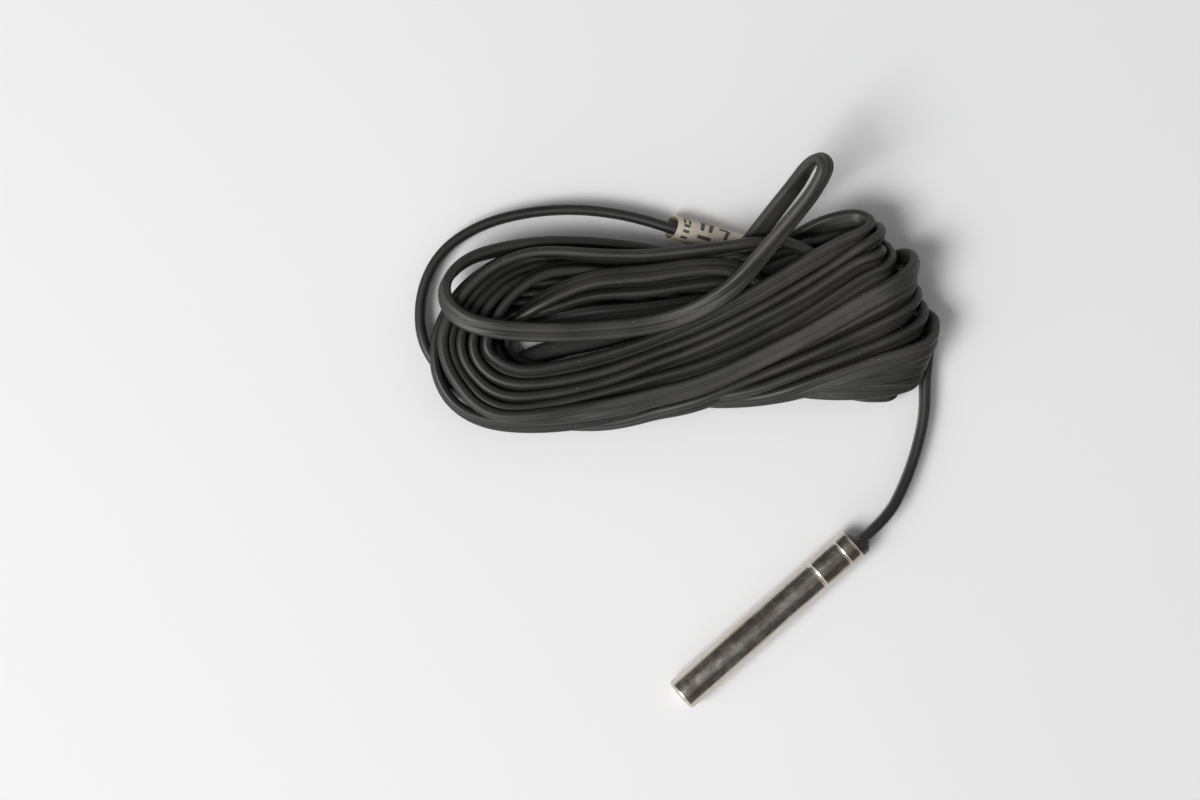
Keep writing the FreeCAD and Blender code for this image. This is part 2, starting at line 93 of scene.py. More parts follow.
# One turn of the hank, station by station, the way the cord runs: from the left end along the near
# side, round the fold at the right, and back along the far side. A row gives the turn (0 is the
# innermost and topmost), where the picture shows it, its height, and how far its ribbed face is
# turned from straight up towards the outside of the loop. Turns between two rows lie between them.
STATIONS = {
    "left": [
        (0, 482, 338, 5.7, 60), (1, 469, 338, 5.4, 70), (2, 459, 338, 5.3, 85), (3, 451, 338, 5.2, 90),
        (4, 445, 338, 5.1, 90), (5, 440, 341, 2.6, 90), (6, 449, 341, 1.75, 90), (11, 493, 338, 1.75, 90),
        (12, 506, 336, 1.75, 90),
    ],
    "left_low": [
        (0, 493, 361, 5.9, 45), (1, 482, 373, 5.5, 60), (2, 475, 379, 5.3, 75), (3, 468, 385, 5.2, 80),
        (4, 464, 389, 4.9, 80), (5, 454, 396, 2.2, 90), (6, 464, 387, 1.75, 90), (11, 499, 362, 1.75, 90),
        (12, 511, 354, 1.75, 90),
    ],
    "near_1": [
        (0, 528, 375, 6.0, 30), (1, 522, 389, 5.8, 45), (2, 515, 401, 5.6, 50), (3, 510, 411, 5.4, 75),
        (4, 507, 417, 4.7, 80), (5, 504, 422, 2.2, 90), (6, 511, 414, 1.75, 90), (11, 530, 378, 1.75, 90),
        (12, 540, 368, 1.75, 90),
    ],
    "near_2": [
        (0, 600, 362, 6.3, 30), (1, 600, 375, 6.0, 75), (2, 600, 385, 5.8, 65), (3, 600, 395, 5.8, 55),
        (4, 600, 408, 5.8, 15), (5, 600, 418, 4.0, 75), (6, 600, 421, 1.9, 85), (7, 600, 413, 1.75, 90),
        (11, 600, 373, 1.75, 90), (12, 600, 362, 1.75, 90),
    ],
    "near_3": [
        (0, 655, 345, 6.9, 30), (1, 655, 356, 6.3, 55), (2, 655, 367, 6.5, 45), (3, 655, 381, 6.4, 30),
        (4, 655, 396, 6.5, 10), (5, 655, 403, 4.8, 60), (6, 655, 407, 2.9, 75), (7, 655, 402, 1.8, 90),
        (8, 655, 393, 1.75, 90), (12, 655, 348, 1.75, 90),
    ],
    "near_4": [
        (0, 705, 325, 7.8, 25), (1, 705, 338, 6.8, 50), (2, 705, 350, 7.2, 35), (3, 705, 367, 7.0, 20),
        (4, 705, 383, 7.4, 5), (5, 705, 392, 5.4, 55), (6, 705, 397, 4.4, 60), (7, 705, 398, 3.4, 65),
        (8, 705, 396, 1.9, 80), (9, 705, 387, 1.8, 85), (12, 705, 358, 1.75, 90),
    ],
    "near_5": [
        (0, 760, 298, 8.9, 20), (1, 760, 311, 7.4, 45), (2, 760, 325, 8.3, 25), (3, 760, 341, 7.6, 25),
        (4, 760, 358, 8.7, 5), (5, 760, 372, 6.6, 40), (6, 760, 380, 5.7, 50), (7, 760, 386, 4.8, 55),
        (8, 760, 389, 3.9, 65), (9, 760, 390, 2.5, 75), (10, 760, 381, 1.75, 85), (11, 760, 371, 1.75, 88),
        (12, 760, 362, 1.75, 90),
    ],
    "near_6": [
        (0, 812, 267, 9.9, 20), (1, 812, 283, 8.2, 45), (2, 812, 298, 9.0, 30), (3, 812, 312, 8.4, 15),
        (4, 812, 332, 10.0, 0), (5, 812, 350, 7.8, 50), (6, 812, 360, 7.2, 30), (7, 812, 369, 6.3, 40),
        (8, 812, 376, 5.8, 30), (9, 812, 382, 4.6, 40), (10, 812, 385, 3.4, 55), (11, 812, 386, 2.4, 75),
        (12, 812, 383, 1.75, 88),
    ],
    "near_7": [
        (0, 850, 246, 10.3, 30), (1, 855, 256, 9.2, 45), (2, 858, 267, 9.3, 35), (3, 862, 280, 8.8, 10),
        (4, 868, 299, 11.0, 0), (5, 870, 321, 8.7, 50), (6, 870, 335, 8.2, 15), (7, 872, 349, 7.4, 35),
        (8, 876, 358, 7.2, 10), (9, 874, 373, 6.0, 20), (10, 868, 383, 4.4, 40), (11, 862, 389, 2.6, 65),
        (12, 856, 393, 1.75, 85),
    ],
    "fold_top": [
        (0, 866, 239, 10.2, 40), (1, 873, 247, 9.4, 45), (2, 880, 258, 9.3, 45), (3, 885, 271, 8.9, 30),
        (4, 905, 277, 11.2, 25), (5, 907, 299, 8.8, 50), (6, 906, 314, 8.3, 40), (7, 915, 331, 7.6, 45),
        (8, 923, 345, 7.3, 35), (9, 919, 365, 6.2, 45), (10, 910, 377, 4.8, 60), (11, 896, 386, 3.2, 75),
        (12, 882, 392, 1.9, 85),
    ],
    "fold": [
        (0, 873, 228, 8.4, 100), (1, 877, 239, 6.6, 90), (2, 882, 250, 6.4, 90), (3, 888, 262, 6.2, 90),
        (4, 911, 260, 7.6, 90), (5, 913, 282, 6.0, 90), (6, 914, 298, 5.6, 90), (7, 925, 315, 5.2, 90),
        (8, 929.5, 327, 5.0, 90), (9, 926, 352, 4.3, 90), (10, 918, 366, 3.6, 90), (11, 905, 378, 2.4, 90),
        (12, 895, 386, 1.8, 90),
    ],
    "fold_low": [
        (0, 858, 222, 7.0, 165), (1, 866, 234, 4.0, 140), (2, 870, 243, 3.4, 135), (3, 875, 254, 3.3, 135),
        (4, 899, 253, 3.8, 140), (5, 901, 272, 3.2, 135), (6, 903, 287, 3.0, 130), (7, 914, 303, 2.9, 130),
        (8, 920, 313, 2.8, 125), (9, 914, 336, 2.5, 120), (10, 908, 350, 2.2, 110), (11, 896, 364, 2.0, 100),
        (12, 887, 373, 1.8, 95),
    ],
    "far_1": [
        (0, 828, 227, 6.2, 180), (1, 832, 241, 4.2, 130), (2, 836, 252, 2.7, 125), (5, 848, 280, 2.7, 140),
        (8, 856, 316, 2.7, 140), (12, 852, 356, 1.9, 110), (13, 856, 305, 0.9, 180),
    ],
    "far_2": [
        (0, 784, 241, 2.6, 150), (1, 788, 248, 4.6, 75), (2, 785, 262, 2.0, 95), (3, 785, 272, 1.9, 95),
        (4, 785, 281, 1.8, 100), (5, 788, 242, 5.2, 80), (6, 788, 291, 1.9, 110), (9, 794, 322, 1.9, 110),
        (10, 797, 333, 1.9, 110), (11, 798, 304, 4.2, 110), (12, 800, 312, 4.6, 120),
        (13, 808, 319, 1.2, 180),
    ],
    "far_3": [
        (0, 730, 259, 2.2, 95), (1, 730, 257, 4.6, 60), (2, 730, 288, 1.8, 90), (3, 730, 279, 1.8, 90),
        (4, 730, 270, 1.8, 90), (5, 730, 248, 6.8, 105), (6, 730, 297, 1.8, 90), (9, 730, 325, 1.8, 90),
        (10, 730, 334, 1.8, 90), (11, 732, 277, 5.2, 45), (12, 733, 263, 6.4, 35), (13, 738, 298, 4.6, 50),
    ],
    "far_4": [
        (0, 650, 250, 3.6, 110), (1, 650, 270, 4.3, 60), (2, 650, 282, 1.8, 90), (3, 650, 273, 1.8, 90),
        (4, 650, 264, 1.8, 90), (5, 650, 259, 6.2, 115), (6, 650, 257, 1.8, 90), (7, 650, 291, 1.75, 90),
        (9, 650, 306, 1.75, 90), (10, 650, 315, 1.75, 90), (11, 650, 287, 5.0, 40), (12, 650, 271, 6.4, 35),
        (13, 650, 309, 5.2, 30),
    ],
    "far_5": [
        (0, 590, 245, 3.9, 120), (1, 590, 265, 4.8, 60), (2, 590, 271, 1.9, 90), (3, 590, 262, 1.8, 90),
        (4, 590, 258, 3.2, 80), (5, 590, 259, 6.2, 120), (6, 590, 253, 1.8, 90), (7, 590, 280, 1.75, 90),
        (9, 590, 304, 1.75, 90), (10, 590, 313, 1.75, 90), (11, 590, 291, 4.9, 42), (12, 590, 277, 6.4, 35),
        (13, 590, 313, 4.9, 12),
    ],
    "far_6": [
        (0, 540, 245, 4.4, 120), (1, 540, 267, 5.6, 45), (2, 539, 272, 1.9, 90), (3, 536, 265, 2.0, 90),
        (4, 533, 259, 3.4, 85), (5, 532, 257, 5.6, 105), (6, 528, 261, 1.8, 90), (7, 541, 281, 1.75, 90),
        (9, 545, 303, 1.75, 90), (10, 541, 313, 1.75, 90), (11, 541, 309, 4.4, 50), (12, 541, 299, 5.6, 35),
        (13, 546, 320, 3.6, 15),
    ],
    "left_high": [
        (1, 504, 296, 5.4, 70), (2, 498, 292, 4.6, 85), (3, 492, 289, 4.4, 90), (4, 486, 286, 4.6, 90),
        (5, 480, 282, 5.2, 90), (6, 470, 289, 2.2, 90), (7, 477, 294, 1.75, 90), (10, 495, 313, 1.75, 90),
        (11, 502, 318, 2.6, 75), (12, 509, 320, 3.6, 60), (13, 518, 329, 2.2, 80),
    ],
}

FAR = ["far_1", "far_2", "far_3", "far_4", "far_5", "far_6", "left_high"]
NEAR_AND_FOLD = [name for name in STATIONS if name not in FAR]


def passing(station, turn):
    """Picture x and y, height and face angle of one turn where it goes through a station."""
    rows = sorted(STATIONS[station])
    turns = [row[0] for row in rows]
    return [float(np.interp(turn, turns, [row[i] for row in rows])) for i in range(1, 5)]


# From the seal down to the table and towards the hank, in the row frame (mm), with the face angle
LEAD_ROUTE = [
    (21.3, -0.45, 3.0, 90), (26.3, -0.45, 3.0, 90), (31.8, 1.55, 2.1, 90), (37.5, 4.6, 1.7, 90),
    (43.0, 8.6, 1.7, 90), (47.0, 13.5, 1.7, 90),
]
# In under the hank's right end, as the picture would show it
LEAD_UNDER = [(925, 352, 1.7, 100), (921, 329, 1.3, 140), (907, 310, 1.0, 170), (884, 303, 0.9, 180)]
# The last turn's far side leaves the hank, crosses back over it, stands up in a tall loop, and
# goes down through the hank
LOOSE = [
    (500, 250, 4.8, 112), (467, 260, 5.2, 102), (446, 281, 6.2, 90), (446, 304, 7.6, 65),
    (465, 323, 8.6, 30), (505, 332, 9.0, 5), (560, 333.5, 9.0, 0), (620, 330, 9.1, 0), (670, 322, 9.8, 0),
    (708, 306, 11.2, 8), (738, 284, 13.0, 30), (765, 252, 15.0, 46), (790, 222, 17.2, 55),
    (809, 199, 19.2, 58), (821, 180, 20.6, 58), (826, 168, 21.2, 50), (824, 159, 20.6, 50),
    (815, 158, 18.6, 75), (806, 167, 16.4, 115), (797, 182, 13.8, 142), (782, 201, 11.2, 148),
    (767, 220, 8.2, 158), (750, 242, 4.8, 168), (722, 273, 1.8, 178), (686, 300, 1.0, 180),
    (645, 321, 0.9, 180), (600, 336, 0.9, 180), (560, 344, 0.9, 180), (526, 355, 0.9, 180),
    (494, 376, 1.0, 165), (464, 388, 1.3, 130),
]
# Out from under the hank's left end, round on the table to the label and the free end
TAIL_ROUTE = [
    (-14.3, 68.0, 2.2, 90), (-14.2, 75.5, 2.2, 90), (-9.5, 82.0, 2.0, 90), (-2.0, 85.5, 1.9, 90),
    (6.5, 84.5, 1.9, 90), (14.5, 80.5, 2.0, 90), (21.5, 75.0, 2.2, 90), (27.5, 68.0, 2.4, 90),
    (32.5, 59.6, 2.5, 90), (37.5, 52.6, 2.5, 90), (42.5, 46.6, 2.5, 90),
]


def at_picture(point):
    """A point given in the picture, as a place above the table (mm) and its face angle."""
    x, y, height, angle = point
    return (*seen(x, y, height), angle)


def turn_points():
    """The turns' points, station by station, and one more between each two, on a smooth curve."""
    passes = [at_picture(passing(station, TURNS)) for station in FAR]
    for turn in reversed(range(TURNS)):
        passes += [at_picture(passing(station, turn)) for station in NEAR_AND_FOLD]
        passes += [at_picture(passing(station, turn)) for station in (FAR if turn else FAR[:-1])]
    passes = np.array(passes)
    before = np.vstack([2 * passes[:1] - passes[1:2], passes[:-2]])
    beyond = np.vstack([passes[2:], 2 * passes[-1:] - passes[-2:-1]])
    turns = np.empty((len(passes) * 2 - 1, 4))
    turns[0::2] = passes
    turns[1::2] = (9 * (passes[:-1] + passes[1:]) - before - beyond) / 16
    return turns


under = [at_picture(point) for point in LEAD_UNDER]
loose = [at_picture(point) for point in LOOSE]
route = np.vstack([LEAD_ROUTE, under, turn_points(), loose, TAIL_ROUTE])


def unit(vectors):
    return vectors / np.maximum(np.linalg.norm(vectors, axis=1, keepdims=True), 1e-9)


def side_of(middle, angle):
    """Unit vectors across the cord's width, from its line and the angle of its ribbed face."""
    run = np.gradient(middle, axis=0)
    level = run.copy()
    level[:, 2] = 0
    for _ in range(2):
        level[1:-1] = (level[:-2] + 2 * level[1:-1] + level[2:]) / 4
    level = unit(level)
    outward = np.stack([level[:, 1], -level[:, 0], np.zeros(len(level))], axis=1)
    turn = np.radians(angle)[:, None]
    face = np.cos(turn) * np.array([0.0, 0.0, 1.0]) + np.sin(turn) * outward
    return unit(np.cross(unit(run), face))


middle = route[:, :3]
side = side_of(middle, route[:, 3])


def spread(count, between):
    """Weights that turn control points into points along the smooth line they control."""
    weights = np.zeros(((count - 2) * between, count))
    for i in range(count - 2):
        for step in range(between):
            u = (step + 0.5) / between
            weights[i * between + step, i:i + 3] = (0.5 * (1 - u) ** 2, 0.5 + u * (1 - u), 0.5 * u * u)
    return weights


def near_pairs(points, skip, reach):
    """Pairs of points closer than reach whose places along the line differ by more than skip."""
    count = len(points) // 2
    place = np.tile(np.arange(count), 2)
    first, second = [], []
    block_size = 400
    for start in range(0, len(points), block_size):
        block = points[start:start + block_size]
        gap = block[:, None, :] - points[None, :, :]
        close = (gap ** 2).sum(axis=2) < reach * reach
        i, j = np.nonzero(close)
        i += start
        keep = (i < j) & (np.abs(place[i] - place[j]) > skip)
        first.append(i[keep])
        second.append(j[keep])
    return np.concatenate(first), np.concatenate(second)


SETTLING_ROUNDS = 190
STEPS_BETWEEN = 4  # steps along the line from one control point to the next
PRESSED_IN = 0.03  # the rubber gives way by this much (mm)
ABOVE_TABLE = 0.08  # left under the strands, because the line swings a little about its points (mm)


def settle(middle, side, rounds, rods):
    """Presses the strands apart where two share the same space, and keeps them near where they were.

    The lead's and the tail's ends stay put. A rod that the strands keep clear of is two ends and a radius."""
    weights = spread(len(middle), STEPS_BETWEEN)
    share = np.maximum(weights.sum(axis=0), 0.3)[:, None]
    rails = [middle + LOBE * side, middle - LOBE * side]
    homes = [rail.copy() for rail in rails]
    movable = np.ones((len(middle), 1))
    movable[:len(LEAD_ROUTE) - 1] = 0
    movable[2 - len(TAIL_ROUTE):] = 0
    count = len(weights)
    off_the_tail = np.tile(np.arange(count) < count - 6 * STEPS_BETWEEN, 2)
    apart = 2 * LOBE_RADIUS - PRESSED_IN
    for settling in range(rounds):
        lines = [weights @ rail for rail in rails]
        points = np.vstack(lines)
        along = unit(np.vstack([np.gradient(line, axis=0) for line in lines]))
        if settling % 12 == 0:
            first, second = near_pairs(points, 5, apart + 1.1)
        # Strands side by side are pushed straight apart, crossing ones away from each other
        gap = points[second] - points[first]
        crossing = np.abs((along[first] * along[second]).sum(axis=1)) < 0.8
        lengthwise = (gap * along[first]).sum(axis=1)
        flat = gap - lengthwise[:, None] * along[first]
        gap = np.where(crossing[:, None], gap, flat)
        distance = np.linalg.norm(gap, axis=1)
        hit = (distance < apart) & (crossing | (np.abs(lengthwise) < 1.3))
        push = gap[hit] / np.maximum(distance[hit], 1e-6)[:, None] * (apart - distance[hit])[:, None] * 0.5
        moved = np.zeros_like(points)
        struck = np.zeros(len(points))
        np.add.at(moved, first[hit], -push)
        np.add.at(moved, second[hit], push)
        np.add.at(struck, first[hit], 1)
        np.add.at(struck, second[hit], 1)
        moved /= np.maximum(struck, 1)[:, None] ** 0.6
        moved[:, 2] += np.maximum(LOBE_RADIUS - points[:, 2], 0)
        for end_a, end_b, radius in rods:
            way = end_b - end_a
            share_along = np.clip((points - end_a) @ way / (way @ way), 0, 1)
            off = points - (end_a + share_along[:, None] * way)
            distance_off = np.linalg.norm(off, axis=1)
            into = np.maximum(radius + LOBE_RADIUS - distance_off, 0) * off_the_tail
            moved += off / np.maximum(distance_off, 1e-6)[:, None] * into[:, None]
        # The pull towards home eases off, so that the last rounds only part the strands
        pull = 0.03 if settling < rounds * 0.6 else 0.008 if settling < rounds * 0.9 else 0
        for k, rail in enumerate(rails):
            shift = weights.T @ moved[k * count:(k + 1) * count] / share
            rail += 1.5 * movable * shift
            drift = rail - homes[k]
            drift -= pull * drift * np.array([1.0, 1.0, 0.5])
            smooth = drift.copy()
            smooth[1:-1] = drift[1:-1] + 0.2 * (drift[:-2] + drift[2:] - 2 * drift[1:-1])
            rail[:] = homes[k] + movable * smooth
            rail[:, 2] = np.maximum(rail[:, 2], LOBE_RADIUS + ABOVE_TABLE)
        centre = (rails[0] + rails[1]) / 2
        across = unit(unit(rails[0] - rails[1]) + 0.06 * side) * LOBE
        rails = [centre + across, centre - across]
    return (rails[0] + rails[1]) / 2, unit(rails[0] - rails[1])


# The label and the split end of the cord lie under the turns
label_from, label_to = np.array(TAIL_ROUTE[-4][:3]), np.array(TAIL_ROUTE[-2][:3])
label_way = (label_to - label_from) / np.linalg.norm(label_to - label_from)
label_middle = (label_from + label_to) / 2 + label_way * LABEL_PAST_MIDDLE
half_label = label_way * LABEL_LENGTH / 2
tail_end = np.array(TAIL_ROUTE[-1][:3])
tail_way = (tail_end - label_to) / np.linalg.norm(tail_end - label_to)
under_the_turns = [
    (label_middle - half_label, label_middle + half_label, LABEL_RADIUS + 0.1),
    (label_to, tail_end + tail_way * END_LENGTH, CORD_WIDTH / 2),
]
middle, side = settle(middle, side, SETTLING_ROUNDS, under_the_turns)


def spline_points(name, points, resolution):
    """Points along one NURBS spline controlled by the given points (mm), read from the curve itself."""
    data = bpy.data.curves.new(name, "CURVE")
    data.dimensions = "3D"
    data.resolution_u = resolution
    spline = data.splines.new("NURBS")
    spline.points.add(len(points) - 1)
    for knot, point in zip(spline.points, points):
        knot.co = (*(point * MM), 1.0)
    spline.order_u = 3
    spline.use_endpoint_u = True
    line = bpy.data.objects.new(name, data)
    bpy.context.collection.objects.link(line)
    mesh = bpy.data.meshes.new_from_object(line)
    found = np.array([vertex.co for vertex in mesh.vertices])
    bpy.data.objects.remove(line)
    bpy.data.curves.remove(data)
    bpy.data.meshes.remove(mesh)
    return found


def with_close_ends(line):
    """The line with one more point close to each end, so that the cut ends keep a crisp edge."""
    close = 0.03
    first = line[0] + close * (line[1] - line[0])
    last = line[-1] + close * (line[-2] - line[-1])
    return np.vstack([line[:1], first, line[1:-1], last, line[-1:]])


def distance_along(points):
    """How far along the line through the points each of them lies (mm)."""
    return np.concatenate([[0], np.cumsum(np.linalg.norm(np.diff(points, axis=0), axis=1))]) / MM


CORD_RESOLUTION = 6
cord_line = with_close_ends(spline_points("cord_line", middle, CORD_RESOLUTION))
edge_line = with_close_ends(spline_points("edge_line", middle + side, CORD_RESOLUTION))
along = unit(np.gradient(cord_line, axis=0))
across = edge_line - cord_line
across = unit(across - (across * along).sum(axis=1, keepdims=True) * along)
facing = np.cross(across, along)

# The cord's section: across its width and out to its ribbed face (mm)
SECTION = [
    (1.70, 0.00), (1.64, 0.36), (1.46, 0.66), (1.20, 0.82), (0.98, 0.875), (0.80, 0.80), (0.62, 0.86),
    (0.42, 0.80), (0.24, 0.82), (0.0, 0.58), (-0.24, 0.82), (-0.42, 0.80), (-0.62, 0.86), (-0.80, 0.80),
    (-0.98, 0.875), (-1.20, 0.82), (-1.46, 0.66), (-1.64, 0.36), (-1.70, 0.00), (-1.62, -0.42),
    (-1.38, -0.74), (-1.0, -0.85), (0.0, -0.86), (1.0, -0.85), (1.38, -0.74), (1.62, -0.42),
]
section = np.array(SECTION) * MM
rings = (cord_line[:, None, :] + section[None, :, 0, None] * across[:, None, :]
         + section[None, :, 1, None] * facing[:, None, :])
ring_count, ring_size = rings.shape[:2]
verts = rings.reshape(-1, 3)
faces = []
for i in range(ring_count - 1):
    a, b = i * ring_size, (i + 1) * ring_size
    for k in range(ring_size):
        n = (k + 1) % ring_size
        faces.append((a + k, b + k, b + n, a + n))
faces.append(tuple(range(ring_size)))
faces.append(tuple((ring_count - 1) * ring_size + k for k in reversed(range(ring_size))))
cord_mesh = bpy.data.meshes.new("twin_cord")
cord_mesh.from_pydata(verts.tolist(), [], faces)
cord_mesh.polygons.foreach_set("use_smooth", [True] * (len(faces) - 2) + [False] * 2)
# Millimetres round the section and along the cord, for the finish
steps_along = distance_along(cord_line)
steps_round = distance_along(np.vstack([section, section[:1]]))
lengthwise = cord_mesh.uv_layers.new(name="lengthwise")
ring_of = np.repeat(np.arange(ring_count - 1), ring_size)
step_of = np.tile(np.arange(ring_size), ring_count - 1)
side_uv = np.empty((len(ring_of), 4, 2))
side_uv[:, [0, 1], 0] = steps_round[step_of][:, None]
side_uv[:, [2, 3], 0] = steps_round[step_of + 1][:, None]
side_uv[:, [0, 3], 1] = steps_along[ring_of][:, None]
side_uv[:, [1, 2], 1] = steps_along[ring_of + 1][:, None]
end_uv = np.zeros((2 * ring_size, 2))
lengthwise.uv.foreach_set("vector", np.concatenate([side_uv.reshape(-1), end_uv.reshape(-1)]))
cord_mesh.update()
cord = bpy.data.objects.new("twin_cord", cord_mesh)
bpy.context.collection.objects.link(cord)
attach(cord, "root")
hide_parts("cord_lead", "cord_hank", "cord_arch", "cord_tail")

# Sleeve and seal (mm)
TIP_X = -21.3
MOUTH_X = 18.7
AXIS_Z = 3.0
SLEEVE_RADIUS = 3.0
BORE_RADIUS = 2.6
ROUND_SIDES = 144


def skin(name, rings, sides, filled):
    """A skin pulled ring after ring along X. A ring is its x, its middle's y and z, and its half sizes (mm).

    A filled skin starts from a disc and ends in one. Otherwise its last ring is joined to its first."""
    deselect()
    x, y, z, wide, high = rings[0]
    bpy.ops.mesh.primitive_circle_add(
        vertices=sides, radius=1, fill_type="NGON" if filled else "NOTHING", rotation=(0, math.pi / 2, 0)
    )
    piece = bpy.context.object
    piece.name = name
    bpy.ops.object.transform_apply(location=True, rotation=True, scale=True)
    bpy.ops.object.mode_set(mode="EDIT")
    bpy.ops.transform.resize(value=(1, wide * MM, high * MM), center_override=(0, 0, 0))
    bpy.ops.transform.translate(value=(x * MM, y * MM, z * MM))
    for before, after in zip(rings, rings[1:]):
        step = [(after[i] - before[i]) * MM for i in range(3)]
        bpy.ops.mesh.extrude_region_move(TRANSFORM_OT_translate={"value": step})
        bpy.ops.transform.resize(
            value=(1, after[3] / before[3], after[4] / before[4]),
            center_override=[after[i] * MM for i in range(3)],
        )
    if not filled:
        bpy.ops.object.mode_set(mode="OBJECT")
        for ring in range(2):
            start = ring * (len(piece.data.vertices) - sides)
            for vertex in piece.data.vertices[start:start + sides]:
                vertex.select = True
        for edge in piece.data.edges:
            edge.select = all(piece.data.vertices[v].select for v in edge.vertices)
        bpy.ops.object.mode_set(mode="EDIT")
        bpy.ops.mesh.bridge_edge_loops()
    bpy.ops.mesh.select_all(action="SELECT")
    bpy.ops.mesh.normals_make_consistent(inside=False)
    bpy.ops.object.mode_set(mode="OBJECT")
    bpy.ops.object.shade_smooth_by_angle(angle=math.radians(35))
    deselect()
    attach(piece, "root")
    return piece


def rolled_groove(middle, width, depth, steps):
    """Places and radii over a groove that was rolled into the sleeve, with soft shoulders."""
    profile = []
    for i in range(steps + 1):
        t = i / steps * 2 - 1
        sunk = depth * (0.5 + 0.5 * math.cos(math.pi * t)) ** 1.4
        profile.append((middle + t * width, SLEEVE_RADIUS - sunk))
    return profile


# Places from the tip and radii, up the outside, over the turned-in mouth and back down the bore
TIP_ROUND = 0.7
sleeve_profile = [(0.0, 1.2), (0.02, 1.9)]
for i in range(11):
    turn = math.radians(9 * i)
    place = 0.03 + TIP_ROUND * (1 - math.cos(turn))
    sleeve_profile.append((place, SLEEVE_RADIUS - TIP_ROUND + TIP_ROUND * math.sin(turn)))
sleeve_profile += [(8.0, SLEEVE_RADIUS), (16.0, SLEEVE_RADIUS), (24.0, SLEEVE_RADIUS)]
sleeve_profile += rolled_groove(31.7, 0.48, 0.22, 16)
sleeve_profile += rolled_groove(37.5, 0.34, 0.14, 10)
sleeve_profile += [(39.3, SLEEVE_RADIUS), (39.6, 2.97), (39.8, 2.91), (39.93, 2.84), (40.0, 2.76)]
sleeve_profile += [(39.98, 2.68), (39.9, 2.62), (39.7, BORE_RADIUS), (30.0, BORE_RADIUS)]
sleeve_profile += [(0.9, BORE_RADIUS), (0.6, 2.3)]
sleeve_rings = [(TIP_X + x, 0.0, AXIS_Z, radius, radius) for x, radius in sleeve_profile]
sleeve = skin("plated_sleeve", sleeve_rings, ROUND_SIDES, filled=True)
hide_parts("sleeve")

# The seal's rings: place from the mouth, the middle across and up, and half sizes (mm)
SEAL_RINGS = [
    (-10.5, 0.0, 0.0, 2.4, 2.4), (-10.3, 0.0, 0.0, 2.6, 2.6), (-0.3, 0.0, 0.0, 2.6, 2.6),
    (-0.1, -0.02, 0.0, 2.66, 2.66), (0.05, -0.12, 0.0, 2.62, 2.68), (0.22, -0.32, 0.0, 2.43, 2.66),
    (0.42, -0.62, 0.0, 2.12, 2.62), (0.7, -0.86, 0.0, 1.86, 2.54), (1.0, -1.05, 0.0, 1.66, 2.46),
    (1.25, -1.12, 0.0, 1.56, 2.38), (1.5, -1.08, 0.0, 1.42, 2.30), (1.75, -0.98, 0.0, 1.26, 2.20),
    (2.0, -0.86, 0.0, 1.10, 2.10), (2.25, -0.73, 0.0, 0.96, 2.02), (2.45, -0.61, 0.0, 0.86, 1.94),
    (2.58, -0.52, 0.0, 0.83, 1.88), (2.62, -0.47, 0.0, 0.80, 1.80), (2.55, -0.45, 0.0, 0.74, 1.66),
    (2.2, -0.45, 0.0, 0.72, 1.62), (-10.3, -0.45, 0.0, 0.72, 1.62),
]
seal_rings = [(MOUTH_X + x, y, AXIS_Z + z, wide, high) for x, y, z, wide, high in SEAL_RINGS]
seal = skin("moulded_seal", seal_rings, 96, filled=False)
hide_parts("rear_seal")

# Label (mm)
LABEL_WALL = 0.12
LABEL_WRAP = 1.12  # turns of paper round the cord
LABEL_SLANT = 1.0  # the cut ends lean, so that the underside reaches further out
LABEL_START = math.radians(-130)  # the slip starts low on one side


def rolled_label():
    """A paper slip cut flat and rolled round the cord, its end lapped over its start."""
    deselect()
    bpy.ops.mesh.primitive_grid_add(x_subdivisions=26, y_subdivisions=88, size=1)
    piece = bpy.context.object
    piece.name = "rolled_label"
    mesh = piece.data
    across_way = np.array([-label_way[1], label_way[0], 0.0])
    for vertex in mesh.vertices:
        length_share, round_share = vertex.co.x + 0.5, vertex.co.y + 0.5
        turn = LABEL_START + 2 * math.pi * LABEL_WRAP * round_share
        radius = LABEL_RADIUS - 0.16 + 0.14 * round_share
        radius += 0.05 * math.sin(3 * turn + 4 * length_share) * (0.4 + length_share)
        reach = (length_share - 0.5) * LABEL_LENGTH
        reach += LABEL_SLANT * (math.sin(turn) - 0.2) * (1 - 2 * length_share)
        place = label_middle + label_way * reach + across_way * radius * math.cos(turn)
        place = place + np.array([0, 0, radius * math.sin(turn)])
        vertex.co = Vector(place * MM)
    # A slot for the printed side and one for the back
    mesh.materials.append(None)
    mesh.materials.append(None)
    bpy.ops.object.mode_set(mode="EDIT")
    bpy.ops.mesh.select_all(action="SELECT")
    bpy.ops.mesh.flip_normals()
    bpy.ops.object.mode_set(mode="OBJECT")
    wall = piece.modifiers.new("paper", "SOLIDIFY")
    wall.thickness = LABEL_WALL * MM
    wall.offset = -1
    wall.material_offset = 1
    bpy.ops.object.modifier_apply(modifier=wall.name)
    bpy.ops.object.shade_smooth_by_angle(angle=math.radians(40))
    deselect()
    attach(piece, "root")
    return piece


label = rolled_label()
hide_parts("label")


# Shader nodes that the finishes and the studio share
def put(tree, socket, term):
    """Links another node's output into a socket, or sets the socket to a plain value."""
    if isinstance(term, bpy.types.NodeSocket):
        tree.links.new(term, socket)
    else:
        socket.default_value = term


def worked(tree, operation, *terms):
    """The result of a Math node on outputs or numbers."""
    node = tree.nodes.new("ShaderNodeMath")
    node.operation = operation
    for socket, term in zip(node.inputs, terms):
        put(tree, socket, term)
    return node.outputs[0]


